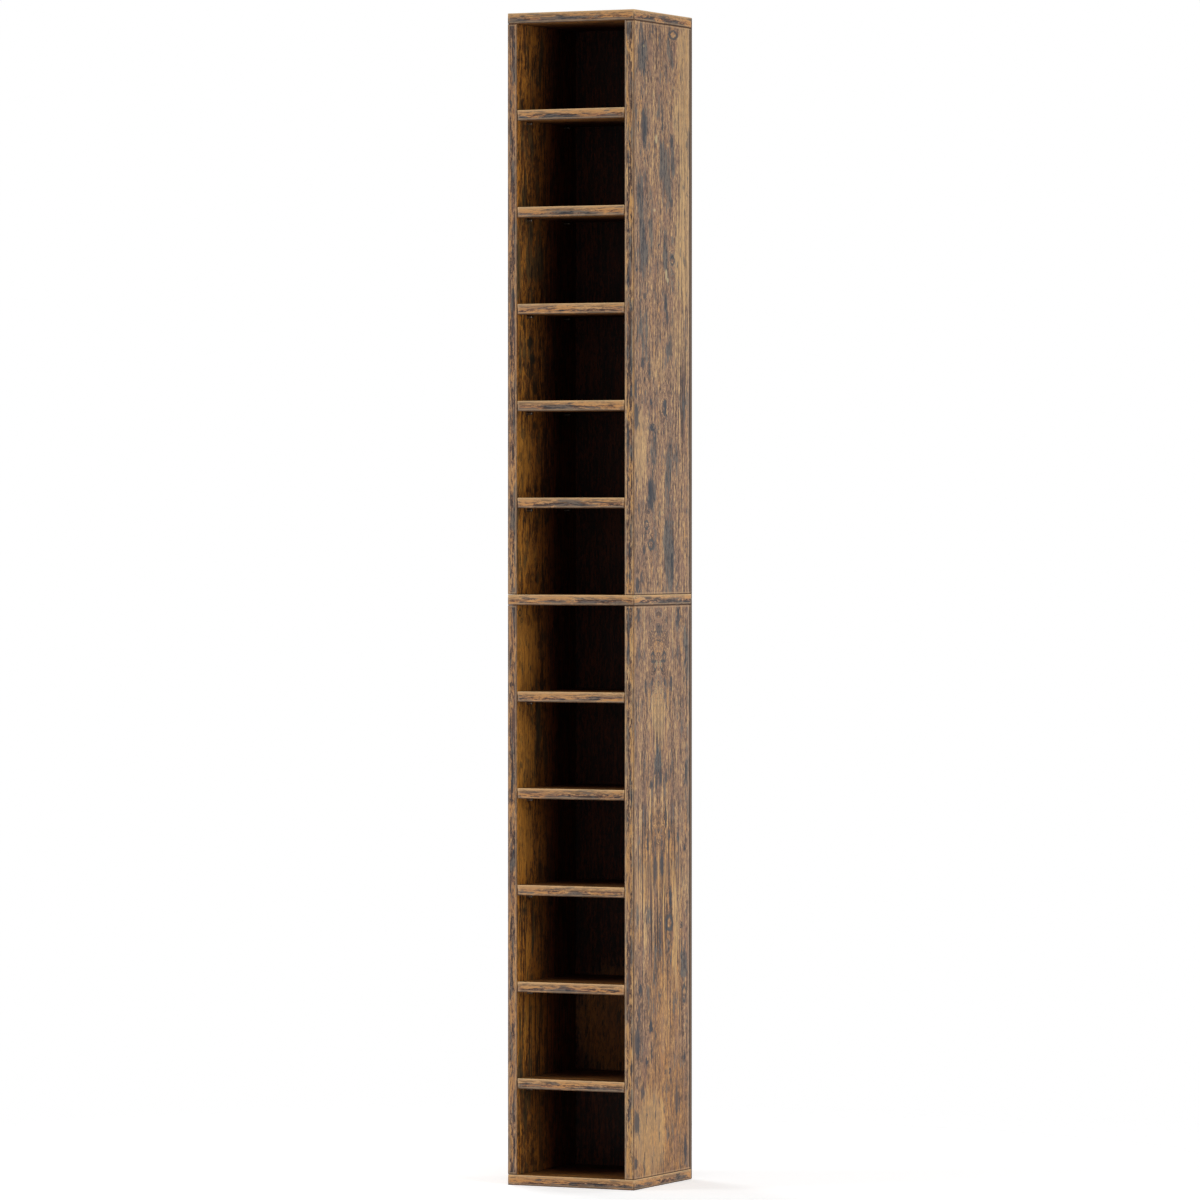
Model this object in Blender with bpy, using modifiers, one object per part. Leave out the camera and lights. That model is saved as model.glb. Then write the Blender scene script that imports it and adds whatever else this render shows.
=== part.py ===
"""Tall, narrow storage tower for disc cases: self-assembly furniture in faced chipboard.

Twelve equal open bays lie one above the other, six over and six under a middle board. The top,
middle and bottom boards are as wide as the tower, and four side panels stand between them. Two
ball-headed bolts, caught by round cam locks, draw each end of a side panel to its board, and a
dowel between them keeps it in line. At the middle board one double-ended bolt serves the panel
above and the panel below. The shelves lie on steel pins, and two thin panels close the rear.

Metres, +Z up. The origin is on the floor under the middle of the tower, and the front faces -Y.
"""

import math

import bmesh
import bpy
from mathutils import Matrix, Vector

# Overall size
TOWER_HEIGHT = 1.800
TOWER_WIDTH = 0.215
TOWER_DEPTH = 0.210  # from the front edges to the rear of the back panels
SHELVES_PER_HALF = 5

# Faced boards
BOARD = 0.016  # thickness of the boards, side panels and shelves
EDGE_RADIUS = 0.0008
FIT_GAP = 0.0003  # between two pieces that meet

# Back panels
BACK_THICKNESS = 0.003
BACK_INSET = 0.0005  # from the outline of the tower to the edge of a back panel
BACK_EDGE_RADIUS = 0.0003

# Shelves and the pins that carry them
SHELF_SIDE_GAP = 0.0005
PIN_DIAMETER = 0.005
PIN_REACH = 0.008  # how far a pin stands out of the side panel
PIN_ROOT = 0.004  # how deep it is joined to the panel
PIN_CHAMFER = 0.0005

# Rows of bolts and pins, from the front and from the rear edge of a side panel
ROW_INSET = 0.037

# Ball-headed bolts
HEAD_DIAMETER = 0.0068
NECK_DIAMETER = 0.004
SHANK_DIAMETER = 0.006
COLLAR_DIAMETER = 0.0074
COLLAR_LENGTH = 0.0015
THREAD_DIAMETER = 0.005
THREAD_LENGTH = 0.0105
BOLT_CHAMFER = 0.0007

# Cam locks
CAM_DIAMETER = 0.015
CAM_SETBACK = 0.024  # from the face of the board to the axis of the cam
CAM_THROW = 0.0006  # how far the chamber is off that axis
CAM_FLOOR = 0.0005  # metal behind the chamber
CAM_RECESS = 0.0003  # how far the cam lies under the face of the side panel
DRIVER_LENGTH = 0.0074
DRIVER_WIDTH = 0.0012
DRIVER_DEPTH = 0.0022

# Dowels
DOWEL_DIAMETER = 0.008
DOWEL_IN_SIDE = 0.020
DOWEL_IN_BOARD = 0.010
DOWEL_CHAMFER = 0.001

# Facets, how far a cutter passes the face that it enters by, and limits of the modelling steps
EDGE_SEGMENTS = 2
CAM_SIDES = 16
ROUND_SIDES = 12
BOLT_SIDES = 10
BALL_STEPS = 3
OVERCUT = 0.001
ROUND_EDGE_ANGLE = math.radians(60)  # the round edges of a rod are sharper, those along it blunter
MERGE_DISTANCE = 0.00005

# Colour, roughness and metallic value of each finish
DECOR = ((0.235, 0.150, 0.085, 1.0), 0.62, 0.0)
ZINC = ((0.560, 0.570, 0.590, 1.0), 0.42, 1.0)
BRIGHT_STEEL = ((0.620, 0.610, 0.580, 1.0), 0.32, 1.0)
BEECH = ((0.620, 0.420, 0.240, 1.0), 0.70, 0.0)

# Planes and levels that several pieces share
FRONT_Y = -TOWER_DEPTH / 2
REAR_Y = TOWER_DEPTH / 2
BODY_REAR_Y = REAR_Y - BACK_THICKNESS - FIT_GAP
BODY_MIDDLE_Y = (FRONT_Y + BODY_REAR_Y) / 2
OUTER_X = TOWER_WIDTH / 2
INNER_X = OUTER_X - BOARD
PANEL_X = OUTER_X - BOARD / 2  # middle plane of a side panel, in which the bolts lie
MIDDLE_Z = TOWER_HEIGHT / 2
MIDDLE_TOP_Z = MIDDLE_Z + BOARD / 2
MIDDLE_BOTTOM_Z = MIDDLE_Z - BOARD / 2
TOP_BOARD_Z = TOWER_HEIGHT - BOARD

# What is repeated on both sides, in both rows, in both halves and at each end of a side panel
SIDES = {"left": -1, "right": 1}
ROWS = {"front": FRONT_Y + ROW_INSET, "rear": BODY_REAR_Y - ROW_INSET}
HALVES = {"lower": (BOARD, MIDDLE_BOTTOM_Z), "upper": (MIDDLE_TOP_Z, TOP_BOARD_Z)}
# The face of the board at each joint, and the way from it into the side panel
JOINTS = {
    "top": (TOP_BOARD_Z, -1),
    "upper_middle": (MIDDLE_TOP_Z, 1),
    "lower_middle": (MIDDLE_BOTTOM_Z, -1),
    "bottom": (BOARD, 1),
}

# Shapes that follow from the sizes of the bolts and the cam locks
CAM_RADIUS = CAM_DIAMETER / 2
HEAD_RADIUS = HEAD_DIAMETER / 2
NECK_RADIUS = NECK_DIAMETER / 2
SHANK_RADIUS = SHANK_DIAMETER / 2
COLLAR_RADIUS = COLLAR_DIAMETER / 2
THREAD_RADIUS = THREAD_DIAMETER / 2
HEAD_ROOM = HEAD_RADIUS + FIT_GAP
NECK_ROOM = NECK_RADIUS + FIT_GAP
SHANK_END = CAM_SETBACK - CAM_RADIUS - FIT_GAP
CAM_FACE = BOARD / 2 - CAM_RECESS  # from the plane of the bolts to the face of the cam
CAM_BACK = HEAD_ROOM + CAM_FLOOR  # from the plane of the bolts to the back of the cam
POCKET_DEPTH = BOARD / 2 + CAM_BACK + FIT_GAP


# The scene: pieces in one collection, the tools that shape them in another, all under one empty

for old in list(bpy.data.objects):
    bpy.data.objects.remove(old, do_unlink=True)
parts = bpy.data.collections.new("disc_storage_tower")
tools = bpy.data.collections.new("cutters")
for group in (parts, tools):
    bpy.context.scene.collection.children.link(group)
tower = bpy.data.objects.new("disc_storage_tower", None)
parts.objects.link(tower)


def piece(name, mesh, location, look, turn=(0, 0, 0)):
    """A piece of the tower, at its place and in its own material."""
    obj = bpy.data.objects.new(name, mesh)
    parts.objects.link(obj)
    obj.parent = tower
    obj.location = location
    obj.rotation_euler = turn
    colour, roughness, metallic = look
    material = bpy.data.materials.new(name)
    material.use_nodes = True
    shader = material.node_tree.nodes["Principled BSDF"]
    shader.inputs["Base Color"].default_value = colour
    shader.inputs["Roughness"].default_value = roughness
    shader.inputs["Metallic"].default_value = metallic
    if not mesh.materials:
        mesh.materials.append(None)
    obj.material_slots[0].link = "OBJECT"
    obj.material_slots[0].material = material
    return obj


def tool(name, mesh, location=(0, 0, 0)):
    """A shape that cuts a piece or is joined to one, and is no piece itself."""
    obj = bpy.data.objects.new(name, mesh)
    tools.objects.link(obj)
    obj.parent = tower
    obj.location = location
    obj.hide_render = True
    obj.display_type = "WIRE"
    return obj


def box_mesh(name, size):
    shape = bmesh.new()
    bmesh.ops.create_cube(shape, size=1)
    bmesh.ops.scale(shape, vec=size, verts=shape.verts)
    mesh = bpy.data.meshes.new(name)
    shape.to_mesh(mesh)
    shape.free()
    return mesh


def rod_mesh(name, ends, diameter, sides=ROUND_SIDES):
    """Cylinders of one diameter, each between two end points."""
    shape = bmesh.new()
    for start, end in ends:
        run = Vector(end) - Vector(start)
        middle = Matrix.Translation((Vector(start) + Vector(end)) / 2)
        bmesh.ops.create_cone(
            shape,
            cap_ends=True,
            segments=sides,
            radius1=diameter / 2,
            radius2=diameter / 2,
            depth=run.length,
            matrix=middle @ run.to_track_quat("Z", "Y").to_matrix().to_4x4(),
        )
    mesh = bpy.data.meshes.new(name)
    shape.to_mesh(mesh)
    shape.free()
    return mesh


def chamfer_ends(obj, width):
    """Chamfer the two round edges of a rod and leave its side as it is."""
    chamfer = obj.modifiers.new("chamfered ends", "BEVEL")
    chamfer.width = width
    chamfer.segments = 1
    chamfer.angle_limit = ROUND_EDGE_ANGLE


def combine(obj, shaper, operation="DIFFERENCE", solver="EXACT"):
    """Cut a piece with a tool, or with UNION join the tool's shape to it."""
    step = obj.modifiers.new(shaper.name, "BOOLEAN")
    step.object = shaper
    step.operation = operation
    step.solver = solver


def middle_of(low, high):
    return [(a + b) / 2 for a, b in zip(low, high)]


def size_of(low, high):
    return [b - a for a, b in zip(low, high)]


def panel(name, low, high, radius=EDGE_RADIUS):
    """A flat board between two corners, with rounded arrises."""
    obj = piece(name, box_mesh(name, size_of(low, high)), middle_of(low, high), DECOR)
    rounding = obj.modifiers.new("rounded edges", "BEVEL")
    rounding.width = radius
    rounding.segments = EDGE_SEGMENTS
    return obj


def block(name, low, high):
    """A box-shaped cutter between two corners."""
    return tool(name, box_mesh(name, size_of(low, high)), middle_of(low, high))


# Families of bores. A dowel bore runs through the joint, so the same cutter serves both pieces.

bolt_places = [(side * PANEL_X, y) for side in SIDES.values() for y in ROWS.values()]
cam_pocket_ends = [
    ((side * (INNER_X - OVERCUT), y, face + way * CAM_SETBACK),
     (side * (INNER_X + POCKET_DEPTH), y, face + way * CAM_SETBACK))
    for face, way in JOINTS.values() for side in SIDES.values() for y in ROWS.values()
]
shank_bore_ends = [
    ((x, y, face - way * OVERCUT), (x, y, face + way * CAM_SETBACK))
    for face, way in JOINTS.values() for x, y in bolt_places
]
thread_bore_ends = [
    ((x, y, face + way * OVERCUT), (x, y, face - way * (THREAD_LENGTH + FIT_GAP)))
    for face, way in (JOINTS["top"], JOINTS["bottom"]) for x, y in bolt_places
]
through_bore_ends = [
    ((x, y, MIDDLE_BOTTOM_Z - OVERCUT), (x, y, MIDDLE_TOP_Z + OVERCUT)) for x, y in bolt_places
]
# The lowest and highest point of each dowel
DOWELS = {
    "top": (TOP_BOARD_Z - DOWEL_IN_SIDE, TOP_BOARD_Z + DOWEL_IN_BOARD),
    "middle": (MIDDLE_BOTTOM_Z - DOWEL_IN_SIDE, MIDDLE_TOP_Z + DOWEL_IN_SIDE),
    "bottom": (BOARD - DOWEL_IN_BOARD, BOARD + DOWEL_IN_SIDE),
}
dowel_bore_ends = [
    ((side * PANEL_X, BODY_MIDDLE_Y, low - FIT_GAP), (side * PANEL_X, BODY_MIDDLE_Y, high + FIT_GAP))
    for low, high in DOWELS.values() for side in SIDES.values()
]


def bores(name, ends, diameter, sides=ROUND_SIDES):
    return tool(name, rod_mesh(name, ends, diameter + 2 * FIT_GAP, sides))


cam_pockets = bores("cam_pockets", cam_pocket_ends, CAM_DIAMETER, CAM_SIDES)
shank_bores = bores("shank_bores", shank_bore_ends, COLLAR_DIAMETER)
thread_bores = bores("thread_bores", thread_bore_ends, THREAD_DIAMETER)
through_bores = bores("through_bores", through_bore_ends, SHANK_DIAMETER)
dowel_bores = bores("dowel_bores", dowel_bore_ends, DOWEL_DIAMETER)


# Top, middle and bottom boards, each as wide as the tower

BOARDS = {
    "top": (TOP_BOARD_Z, thread_bores),
    "middle": (MIDDLE_BOTTOM_Z, through_bores),
    "bottom": (0, thread_bores),
}
for level, (low_z, bolt_bores) in BOARDS.items():
    board = panel(
        f"{level}_board", (-OUTER_X, FRONT_Y, low_z), (OUTER_X, BODY_REAR_Y, low_z + BOARD)
    )
    combine(board, bolt_bores)
    combine(board, dowel_bores)


# Shelves and side panels, half by half. The pins under the shelves are joined to the side panels.

def shelf_levels(low_z, high_z):
    """The undersides of the shelves that divide a half into equal bays."""
    bay = (high_z - low_z - SHELVES_PER_HALF * BOARD) / (SHELVES_PER_HALF + 1)
    return [low_z + bay + i * (bay + BOARD) for i in range(SHELVES_PER_HALF)]


shelf_number = 0
for half, (low_z, high_z) in HALVES.items():
    for z in shelf_levels(low_z, high_z):
        shelf_number += 1
        shelf_x = INNER_X - SHELF_SIDE_GAP
        panel(f"shelf_{shelf_number:02d}", (-shelf_x, FRONT_Y, z), (shelf_x, BODY_REAR_Y, z + BOARD))
    for hand, side in SIDES.items():
        inner, outer = sorted((side * INNER_X, side * OUTER_X))
        side_panel = panel(
            f"{half}_{hand}_side",
            (inner, FRONT_Y, low_z + FIT_GAP),
            (outer, BODY_REAR_Y, high_z - FIT_GAP),
        )
        pin_ends = [
            ((side * (INNER_X - PIN_REACH), y, z - FIT_GAP - PIN_DIAMETER / 2),
             (side * (INNER_X + PIN_ROOT), y, z - FIT_GAP - PIN_DIAMETER / 2))
            for z in shelf_levels(low_z, high_z) for y in ROWS.values()
        ]
        pins = tool(f"{half}_{hand}_pins", rod_mesh("pins", pin_ends, PIN_DIAMETER))
        chamfer_ends(pins, PIN_CHAMFER)
        # At some heights of the tower EXACT leaves a sliver open where a pin meets the panel
        combine(side_panel, pins, "UNION", "MANIFOLD")
        for cutter in (cam_pockets, shank_bores, dowel_bores):
            combine(side_panel, cutter)


# Back panels, which meet behind the middle of the middle board

BACKS = {
    "lower": (BACK_INSET, MIDDLE_Z - FIT_GAP / 2),
    "upper": (MIDDLE_Z + FIT_GAP / 2, TOWER_HEIGHT - BACK_INSET),
}
for half, (low_z, high_z) in BACKS.items():
    back_x = OUTER_X - BACK_INSET
    panel(
        f"{half}_back_panel",
        (-back_x, REAR_Y - BACK_THICKNESS, low_z),
        (back_x, REAR_Y, high_z),
        BACK_EDGE_RADIUS,
    )


# Dowels

for level, (low_z, high_z) in DOWELS.items():
    for hand, side in SIDES.items():
        half_length = (high_z - low_z) / 2
        dowel = piece(
            f"{level}_{hand}_dowel",
            rod_mesh("dowel", [((0, 0, -half_length), (0, 0, half_length))], DOWEL_DIAMETER),
            (side * PANEL_X, BODY_MIDDLE_Y, (low_z + high_z) / 2),
            BEECH,
        )
        chamfer_ends(dowel, DOWEL_CHAMFER)


# Ball-headed bolts. Their profiles are (distance from the face of the board, radius).

def turned(name, profile, location):
    """A bolt turned about Z; its profile gives (height, radius) from the top to the bottom."""
    mesh = bpy.data.meshes.new(name)
    points = [(radius, 0, height) for height, radius in profile]
    mesh.from_pydata(points, [(i, i + 1) for i in range(len(points) - 1)], [])
    bolt = piece(name, mesh, location, BRIGHT_STEEL)
    sweep = bolt.modifiers.new("turned", "SCREW")
    sweep.steps = BOLT_SIDES
    sweep.render_steps = BOLT_SIDES
    sweep.use_merge_vertices = True
    sweep.merge_threshold = MERGE_DISTANCE


def headed_end():
    """Shoulder of the shank, neck and ball, out to the tip."""
    neck_angle = math.asin(NECK_RADIUS / HEAD_RADIUS)
    step = (math.pi - neck_angle) / BALL_STEPS
    angles = [neck_angle + i * step for i in range(BALL_STEPS)]
    shoulder = [(SHANK_END - BOLT_CHAMFER, SHANK_RADIUS), (SHANK_END, NECK_RADIUS)]
    ball = [
        (CAM_SETBACK - HEAD_RADIUS * math.cos(a), HEAD_RADIUS * math.sin(a)) for a in angles
    ]
    return shoulder + ball + [(CAM_SETBACK + HEAD_RADIUS, 0)]


threaded_end = [
    (-THREAD_LENGTH, 0),
    (-THREAD_LENGTH, THREAD_RADIUS - BOLT_CHAMFER),
    (-THREAD_LENGTH + BOLT_CHAMFER, THREAD_RADIUS),
    (FIT_GAP, THREAD_RADIUS),
    (FIT_GAP, COLLAR_RADIUS),
    (FIT_GAP + COLLAR_LENGTH, COLLAR_RADIUS),
    (FIT_GAP + COLLAR_LENGTH, SHANK_RADIUS),
]
hanging_bolt = [(-distance, radius) for distance, radius in threaded_end + headed_end()]
standing_bolt = [(-height, radius) for height, radius in reversed(hanging_bolt)]
upper_end = [(BOARD / 2 + distance, radius) for distance, radius in reversed(headed_end())]
lower_end = [(-height, radius) for height, radius in reversed(upper_end)]

for hand, side in SIDES.items():
    for row, y in ROWS.items():
        x = side * PANEL_X
        turned(f"top_{hand}_{row}_bolt", hanging_bolt, (x, y, TOP_BOARD_Z))
        turned(f"middle_{hand}_{row}_double_bolt", upper_end + lower_end, (x, y, MIDDLE_Z))
        turned(f"bottom_{hand}_{row}_bolt", standing_bolt, (x, y, BOARD))


# Cam locks. One is shaped about its axis, along X, with the plane of the bolts at 0 and its bolt
# coming down from +Z, and then copied. The neck's slot runs round half of it, and the window lets
# the ball into the chamber before the lock is turned.

def cam_mesh():
    reach = CAM_RADIUS + OVERCUT
    body = tool("cam", rod_mesh("cam", [((-CAM_FACE, 0, 0), (CAM_BACK, 0, 0))], CAM_DIAMETER, CAM_SIDES))
    chamber_ends = [((-HEAD_ROOM, 0, -CAM_THROW), (HEAD_ROOM, 0, -CAM_THROW))]
    window = HEAD_RADIUS + FIT_GAP / 2
    driver_low = (-CAM_FACE - OVERCUT, -DRIVER_WIDTH / 2, -DRIVER_LENGTH / 2)
    driver_high = (-CAM_FACE + DRIVER_DEPTH, DRIVER_WIDTH / 2, DRIVER_LENGTH / 2)
    cutters = [
        tool("chamber", rod_mesh("chamber", chamber_ends, 2 * (HEAD_ROOM + CAM_THROW))),
        block("neck_slot", (-NECK_ROOM, -reach, -NECK_ROOM), (NECK_ROOM, reach, reach)),
        block("head_window", (-window, 0, -window), (window, reach, window)),
        block("driver_slot", driver_low, driver_high),
    ]
    for cutter in cutters:
        combine(body, cutter)
    bpy.context.view_layer.update()
    shaped = body.evaluated_get(bpy.context.evaluated_depsgraph_get())
    mesh = bpy.data.meshes.new_from_object(shaped)
    for used in (body, *cutters):
        bpy.data.objects.remove(used)
    return mesh


cam = cam_mesh()
for joint, (face, way) in JOINTS.items():
    for hand, side in SIDES.items():
        for row, y in ROWS.items():
            half_turn = (math.pi if way > 0 else 0, 0, math.pi if side < 0 else 0)
            place = (side * PANEL_X, y, face + way * CAM_SETBACK)
            piece(f"{joint}_{hand}_{row}_cam", cam, place, ZINC, half_turn)
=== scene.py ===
import math

import bpy
from mathutils import Matrix, Vector


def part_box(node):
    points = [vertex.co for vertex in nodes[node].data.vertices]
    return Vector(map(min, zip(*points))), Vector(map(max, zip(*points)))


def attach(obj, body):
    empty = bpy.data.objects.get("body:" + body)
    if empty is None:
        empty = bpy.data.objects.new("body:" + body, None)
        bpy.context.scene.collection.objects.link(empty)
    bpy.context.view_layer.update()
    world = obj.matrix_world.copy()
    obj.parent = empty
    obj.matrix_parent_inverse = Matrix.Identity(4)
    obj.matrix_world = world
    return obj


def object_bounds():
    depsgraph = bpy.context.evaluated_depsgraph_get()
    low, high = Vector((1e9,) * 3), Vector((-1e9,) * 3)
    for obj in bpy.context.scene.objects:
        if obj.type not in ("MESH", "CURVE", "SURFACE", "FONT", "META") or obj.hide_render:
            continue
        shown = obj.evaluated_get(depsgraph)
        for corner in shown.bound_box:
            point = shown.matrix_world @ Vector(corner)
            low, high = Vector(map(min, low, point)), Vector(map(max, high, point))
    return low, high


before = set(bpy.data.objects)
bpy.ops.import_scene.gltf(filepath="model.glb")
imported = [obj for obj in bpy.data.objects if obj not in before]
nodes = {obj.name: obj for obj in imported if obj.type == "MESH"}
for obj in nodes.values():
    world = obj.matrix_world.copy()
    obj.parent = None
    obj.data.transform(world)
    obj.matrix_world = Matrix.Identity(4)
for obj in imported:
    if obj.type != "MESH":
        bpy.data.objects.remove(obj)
cad_low, cad_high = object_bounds()


# The studio. A long lens looks a little down on the tower from its front right, and tall soft
# boxes on both sides of it light the edges and the side, and reach only a short way into the bays.

AZIMUTH = math.radians(25.906)  # of the view, from the front towards the right
DISTANCE = 10.751  # along the floor, from the foot of the front
CAMERA_HEIGHT = 1.0243
TILT = math.radians(0.662)  # downwards
TURN = math.radians(-0.239)  # past the line to the foot of the front
LENS = 210.83  # mm
SENSOR = 36.0  # mm

camera_data = bpy.data.cameras.new("camera")
camera_data.lens = LENS
camera_data.sensor_width = SENSOR
camera = bpy.data.objects.new("camera", camera_data)
bpy.context.scene.collection.objects.link(camera)
camera.location = (
    DISTANCE * math.sin(AZIMUTH), cad_low.y - DISTANCE * math.cos(AZIMUTH), CAMERA_HEIGHT
)
camera.rotation_euler = (math.radians(90) - TILT, 0, AZIMUTH + TURN)
bpy.context.scene.camera = camera
bpy.context.scene.view_settings.view_transform = "Standard"


def soft_box(name, azimuth, distance, height, size, power, down=0):
    """A soft light that hangs at a height and faces the tower, level or turned downwards."""
    data = bpy.data.lights.new(name, "AREA")
    data.shape = "RECTANGLE"
    data.size, data.size_y = size
    data.energy = power
    lamp = bpy.data.objects.new(name, data)
    bpy.context.scene.collection.objects.link(lamp)
    turn = math.radians(azimuth)
    lamp.location = (distance * math.sin(turn), -distance * math.cos(turn), height)
    lamp.rotation_euler = (math.radians(90 - down), 0, turn)
    lamp.visible_camera = False


soft_box("right_soft_box", 67, 2.6, 1.0, (1.5, 2.6), 38)
soft_box("left_soft_box", -52, 2.6, 1.0, (1.0, 2.6), 34)
soft_box("high_soft_box", 20, 1.3, 3.3, (1.0, 0.8), 8, down=58)
soft_box("rear_right_soft_box", 138, 2.8, 1.0, (1.2, 2.4), 16)
soft_box("rear_left_soft_box", -125, 2.8, 1.0, (1.2, 2.4), 45)

ROOM_LIGHT = 0.22  # share of white light that reaches the tower from all round

world = bpy.data.worlds.new("white_room")
bpy.context.scene.world = world
world.use_nodes = True
air = world.node_tree
backdrop = air.nodes["Background"]
backdrop.inputs["Color"].default_value = (1, 1, 1, 1)
path = air.nodes.new("ShaderNodeLightPath")
share = air.nodes.new("ShaderNodeMapRange")
share.inputs["To Min"].default_value = ROOM_LIGHT
air.links.new(path.outputs["Is Camera Ray"], share.inputs["Value"])
air.links.new(share.outputs["Result"], backdrop.inputs["Strength"])


# The floor. A plain white sheet lies under the tower and runs out into the white room.

FLOOR_RADIUS = 1.5
FLOOR_FADES_FROM = 0.30
FLOOR_WHITE = 0.93
FLOOR_ROUGHNESS = 0.9
FLOOR_GLOW = 0.45  # so that it stays as white as the room


def give(tree, socket, value):
    """Link an output to a socket, or set the socket to a value."""
    if isinstance(value, bpy.types.NodeSocket):
        tree.links.new(value, socket)
    else:
        socket.default_value = value


def add(tree, kind, inputs=None, **settings):
    """A shader node with its settings and its inputs."""
    made = tree.nodes.new(f"ShaderNode{kind}")
    for name, value in settings.items():
        setattr(made, name, value)
    for name, value in (inputs or {}).items():
        give(tree, made.inputs[name], value)
    return made


def maths(tree, operation, *values):
    """The result of an operation on one, two or three values."""
    return add(tree, "Math", dict(enumerate(values)), operation=operation).outputs[0]


def times(tree, first, second):
    """The product of two values."""
    return maths(tree, "MULTIPLY", first, second)


def times_plus(tree, first, second, third):
    """The product of two values, plus a third."""
    return maths(tree, "MULTIPLY_ADD", first, second, third)


def rise(tree, value, start, end):
    """0 up to the start, 1 from the end on, and smooth in between."""
    inputs = {"Value": value, "From Min": start, "From Max": end}
    return add(tree, "MapRange", inputs, interpolation_type="SMOOTHSTEP").outputs["Result"]


def fall(tree, value, start, end):
    """1 up to the start, 0 from the end on, and smooth in between."""
    return maths(tree, "SUBTRACT", 1.0, rise(tree, value, start, end))


def length(tree, arrow):
    """How long a vector is."""
    return add(tree, "VectorMath", {0: arrow}, operation="LENGTH").outputs["Value"]


def own_place(tree):
    """Where a point lies on its piece, in metres."""
    return add(tree, "TexCoord").outputs["Object"]


def new_material(name, metallic=0.0):
    """A material with its node tree and its shader, ready for the nodes that feed it."""
    material = bpy.data.materials.new(name)
    material.use_nodes = True
    shader = material.node_tree.nodes["Principled BSDF"]
    shader.inputs["Metallic"].default_value = metallic
    return material, material.node_tree, shader


def floor_paper():
    """Matt white paper that glows a little in the picture and fades out towards its rim."""
    material, tree, shader = new_material("floor_paper")
    shader.inputs["Roughness"].default_value = FLOOR_ROUGHNESS
    shader.inputs["Base Color"].default_value = (FLOOR_WHITE, FLOOR_WHITE, FLOOR_WHITE, 1)
    shader.inputs["Emission Color"].default_value = (1, 1, 1, 1)
    seen = add(tree, "LightPath").outputs["Is Camera Ray"]
    give(tree, shader.inputs["Emission Strength"], times(tree, seen, FLOOR_GLOW))
    away = length(tree, own_place(tree))
    give(tree, shader.inputs["Alpha"], fall(tree, away, FLOOR_FADES_FROM, FLOOR_RADIUS))
    return material


bpy.ops.object.select_all(action="DESELECT")
bpy.ops.mesh.primitive_circle_add(vertices=96, radius=FLOOR_RADIUS, fill_type="NGON")
floor = bpy.context.active_object
floor.name = "floor"
floor.data.materials.append(floor_paper())


# Side panels. Four panels of 16 mm chipboard, pressed with a printed decor of aged oak whose grain
# stands upright, with a strip of the same decor ironed on each front edge. The lower right panel
# shows a matched figure: its upper half is printed as a mirror image about an upright line.

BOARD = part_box("top_board")[1].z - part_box("top_board")[0].z
OUTER_X = cad_high.x
INNER_X = OUTER_X - BOARD
FRONT_Y = cad_low.y
BAY_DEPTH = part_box("upper_back_panel")[0].y - FRONT_Y
ARRIS = 0.0008  # radius of the rounded arrises
ON_FACE = 0.00024  # how far a face reaches round its arris
ARRIS_BAND = (0.0006, 0.0018)  # from an arris, where its band of wear, painted highlight and painted shade begins to fade and ends
HIGHLIGHT_LINE_AT = 0.0024  # from an arris, the middle of the painted highlight line beside it
HIGHLIGHT_LINE_FADE = (0.0004, 0.0012)  # from its middle, where that line begins to fade and ends
SEALED_FROM = 0.0096  # from the rear of a panel, where its dark edge begins
SEALED_TO = 0.0066  # from the rear, where it is dark all over
TRIM_AT = 0.0115  # from the rear, the middle of a pale line beside the dark edge
TRIM_FADE = (0.0008, 0.0024)  # from its middle, where that line begins to fade and ends
BAY_SHADE_FROM = FRONT_Y - 0.05  # where painted shade begins to darken the decor into the bays
BAY_SHADE_TO = FRONT_Y + 0.75 * BAY_DEPTH
KNOT_CELL = (0.12, 0.28, 1.0)  # a cell of the decor may hold one wild knot
EMPTY_CELLS = 0.62  # share of the cells without a knot
WILD_KNOT = (0.004, 0.012)  # least and greatest radius
SEED_UP = 2.37  # how far up the endless decor a piece is cut for each step across it
STRIP_ASIDE = 3.3  # how far from its board a strip is cut out of the decor
FACE_ASIDE = 1.7  # and an inner face or an end


def paint(red, green, blue):
    """A colour as it looks on screen, from 0 to 255, as the shader reads it."""
    linear = [
        part / 12.92 if part <= 0.04045 else ((part + 0.055) / 1.055) ** 2.4
        for part in (red / 255, green / 255, blue / 255)
    ]
    return (*linear, 1.0)


OAK_TONES = (
    (0.22, paint(70, 49, 39)), (0.37, paint(117, 87, 69)), (0.50, paint(156, 119, 90)),
    (0.62, paint(180, 138, 100)), (0.76, paint(220, 178, 120)),
)
GOLD = paint(206, 146, 74)
GOLDEN_WASH = paint(255, 236, 186)
ROSE = paint(152, 112, 92)
CREAM = paint(212, 172, 116)
DARK_SLATE = paint(36, 52, 64)
PALE_SLATE = paint(98, 99, 98)
FLECK = paint(34, 46, 60)
CRACK = paint(74, 52, 38)
KNOT_HEART = paint(122, 88, 62)
KNOT_RING = paint(54, 60, 66)
CHIP = paint(212, 190, 142)
PORE = paint(80, 60, 46)
PAINTED_EDGE_HIGHLIGHT = paint(208, 170, 126)  # a painted highlight, the pale line beside an arris
TRIMMED = paint(196, 162, 130)
SEALED = paint(58, 34, 18)
STRIP_WASH = paint(240, 232, 230)
# Arris colours, part wear: painted shade on most arrises, a painted highlight on the inner arrises
# of a right panel
SHADED_RIM = paint(112, 78, 50)
LIT_RIM = paint(190, 156, 124)
# Painted shade inside the bays, warm at their mouth and dark at their rear
BAY_MOUTH_SHADE = paint(244, 210, 126)
BAY_END_SHADE = paint(116, 72, 40)


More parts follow.
